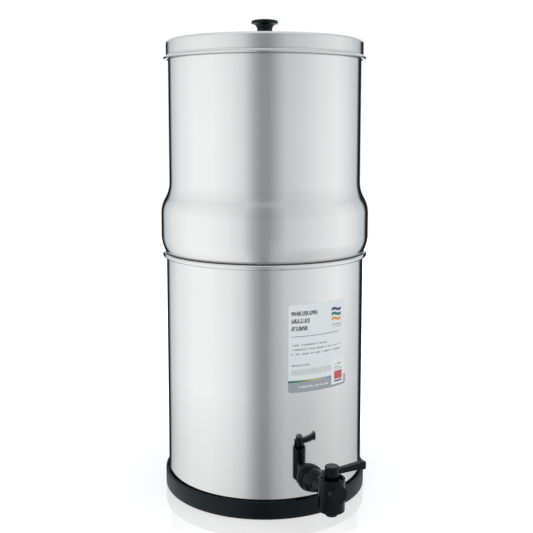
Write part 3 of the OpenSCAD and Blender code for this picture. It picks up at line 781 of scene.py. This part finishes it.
# %% Cloth of the tent
GAP_START, GAP_END, GAP_SHIFT, GAP_TOP_Z = (139.5, 149.5), (170, 166), 1.8, 800
STRIP_START, STRIP_END, STRIP_TOP_Z, STRIP_MORE = (2, 7), (26, 14), 10, 0.08
UPPER_CLOTH, UPPER_LESS, HIGH_CLOTH, HIGH_GREY = (400, 750), 0.05, (900, 2500), 0.2
TOP_CLOTH_Z, TOP_GREY, ROOF_Z, ROOF_MIDDLE = 2350, 0.17, 2500, (1700, 1000)
RIGHT_START, RIGHT_END, RIGHT_FLOOR, RIGHT_LESS = (4, 50), (140, 95), (1250, 450), 0.18
NEAR_FLOOR, NEAR_LEVEL = (150, 500), 0.87
GAP_TONE, HIGH_TONE, TOP_TONE, ROOF_TONE = (
    (0.015, 0.015, 0.015), (0.4, 0.405, 0.41), (0.6, 0.605, 0.61), (0.8, 0.805, 0.81))


def lit_cloth():
    """Cloth that glows inward by angle, height and distance, and is clear from outside"""
    cloth = Finish("tent_cloth")
    x, y, height = cloth.apart(cloth.place(turn=math.radians(90 - VIEW_TURN)))
    out = cloth.maths("SQRT", x * x + y * y)
    angle = mirrored_angle(cloth, x, y, out)
    stops = [((turn + 180) / 360, cool(light, abs(turn) > EDGE_TURN)) for turn, light in LEVELS]
    glow = cloth.add("ValToRGB", {"stops": stops}, {"Fac": angle * (1 / 360) + 0.5})

    gap = cloth.fade(abs(angle + GAP_SHIFT), *GAP_START) * cloth.fade(abs(angle), *GAP_END)
    strip = cloth.fade(angle, *STRIP_START) * cloth.fade(angle, *STRIP_END)
    for mask, tone in (
            (gap * (height < GAP_TOP_Z), GAP_TONE),
            (cloth.fade(height, *HIGH_CLOTH, high=HIGH_GREY), HIGH_TONE),
            ((height > TOP_CLOTH_Z) * TOP_GREY, TOP_TONE),
            (cloth.fade(height, *UPPER_CLOTH, high=UPPER_LESS), BLACK),
            (strip * (height < STRIP_TOP_Z) * STRIP_MORE, WHITE),
            (cloth.fade(out, *ROOF_MIDDLE) * (height > ROOF_Z), ROOF_TONE)):
        glow = cloth.blend(mask, glow, tone)

    right = cloth.fade(angle, *RIGHT_START) * cloth.fade(angle, *RIGHT_END)
    kept = 1 - right * cloth.fade(out, *RIGHT_FLOOR, high=RIGHT_LESS)
    kept *= cloth.fade(out, *NEAR_FLOOR, low=NEAR_LEVEL)
    glow = cloth.blend(kept, BLACK, glow)
    light = cloth.add("Emission", {}, {"Color": glow, "Strength": BRIGHTEST})
    behind = cloth.add("NewGeometry", out="Backfacing")
    return cloth.complete(cloth.layered(behind, light, cloth.add("BsdfTransparent")))


lit_cloth()

# %% Stand the tent up
start_fresh()
bpy.ops.mesh.primitive_cylinder_add(vertices=128, radius=TENT_R, depth=TENT_TOP)
tent = bpy.context.object
bpy.ops.object.mode_set(mode="EDIT")
bpy.ops.transform.translate(value=(0, 0, TENT_TOP / 2 + TENT_LIFT))
bpy.ops.mesh.flip_normals()
bpy.ops.object.mode_set(mode="OBJECT")
tent.name = tent.data.name = "light_tent"
tent.data.materials.append(finishes["tent_cloth"])
tent.visible_camera = False
print("tent radius", TENT_R, "m, height", TENT_TOP, "m")

# %% [markdown]
# ## Floor
#
# The floor is pale and faintly glossy close to the filter, where it mirrors the foot, and
# fades to plain white around it. Its own glow is shown only to the camera and to gloss and
# glass, so that it makes the background white without lighting the object. Its matt part
# keeps the shadow.

# %% Floor
FLOOR_GLOW, NEAR_GLOW, FLOOR_GREY = 1.37, 0.545, (0.4, 0.4, 0.4)
NEAR_R, FAR_R = 155.0, 218.0
FLOOR_MIRROR, FLOOR_ROUGH = 0.24, 0.03


def pale_floor():
    """White floor with a pool of soft reflection round the foot"""
    floor = Finish("studio_floor")
    to_camera, to_gloss, to_glass = [
        floor.add("LightPath", out=f"Is {kind} Ray")
        for kind in ("Camera", "Glossy", "Transmission")]
    seen = to_camera.or_else(to_gloss).or_else(to_glass)
    x, y, _ = floor.apart(floor.place())
    far = floor.fade(x * x + y * y, NEAR_R ** 2, FAR_R ** 2)
    level = floor.blend(seen * (NEAR_GLOW + far * (1 - NEAR_GLOW)), BLACK, WHITE)
    glow = floor.add("Emission", {}, {"Color": level, "Strength": FLOOR_GLOW})
    matt = floor.add("BsdfDiffuse", {}, {"Color": FLOOR_GREY})
    plain = floor.add("AddShader", {}, {0: matt, 1: glow})
    shine = floor.add("BsdfGlossy", {}, {"Roughness": FLOOR_ROUGH})
    return floor.complete(floor.layered(FLOOR_MIRROR * (1 - far), plain, shine))


pale_floor()
start_fresh()
bpy.ops.mesh.primitive_circle_add(vertices=96, radius=TENT_R, fill_type="NGON")
ground = bpy.context.object
ground.name = ground.data.name = "studio_floor"
ground.data.materials.append(finishes["studio_floor"])
print("floor radius", TENT_R, "m")

# %% [markdown]
# ## Lamps and world
#
# Two soft lamps in front give the black plastic and the label their light. Gloss doesn't see
# them, so they leave no square spots in the steel. The world behind everything is white.

# %% Lamps and world
LAMP_ASIDE, LAMP_FRONT, LAMP_HIGH, LAMP_SIZE = 1.1, -1.2, 1.15, 0.9
LAMP_TILT, LAMP_TURN = math.radians(58), math.radians(42)
LAMP_WATTS = {-1: 8.5, 1: 7.5}

for side, watts in LAMP_WATTS.items():
    bpy.ops.object.light_add(
        type="AREA", location=(side * LAMP_ASIDE, LAMP_FRONT, LAMP_HIGH),
        rotation=(LAMP_TILT, 0, side * LAMP_TURN))
    lamp = bpy.context.object
    lamp.data.size, lamp.data.energy = LAMP_SIZE, watts
    lamp.visible_glossy = False
    print("lamp at", [round(part, 2) for part in lamp.location], "with", watts, "W")

world = bpy.data.worlds.new("studio")
world.use_nodes = True
sky = world.node_tree.nodes["Background"].inputs
sky["Color"].default_value, sky["Strength"].default_value = (*WHITE, 1), 1.0
bpy.context.scene.world = world

# %% [markdown]
# ## Camera
#
# The camera stands a little below the lid and well to the left of the tap. The lens is shifted
# down, as on a product camera, so that the tall drum's sides stay upright.

# %% Camera and colour
VIEW_FAR, VIEW_HIGH = 0.9607, 0.3972
VIEW_PITCH, VIEW_LENS, VIEW_SHIFT = 6.68, 59.08, (0.0034, -0.0692)
facing = math.radians(VIEW_TURN)

bpy.ops.object.camera_add(
    location=(VIEW_FAR * math.sin(facing), -VIEW_FAR * math.cos(facing), VIEW_HIGH),
    rotation=(math.radians(90 - VIEW_PITCH), 0, facing))
camera = bpy.context.object
camera.data.lens = VIEW_LENS
camera.data.shift_x, camera.data.shift_y = VIEW_SHIFT
bpy.context.scene.camera = camera
bpy.context.scene.view_settings.view_transform = "Standard"
print("camera at", [round(part, 3) for part in camera.location])
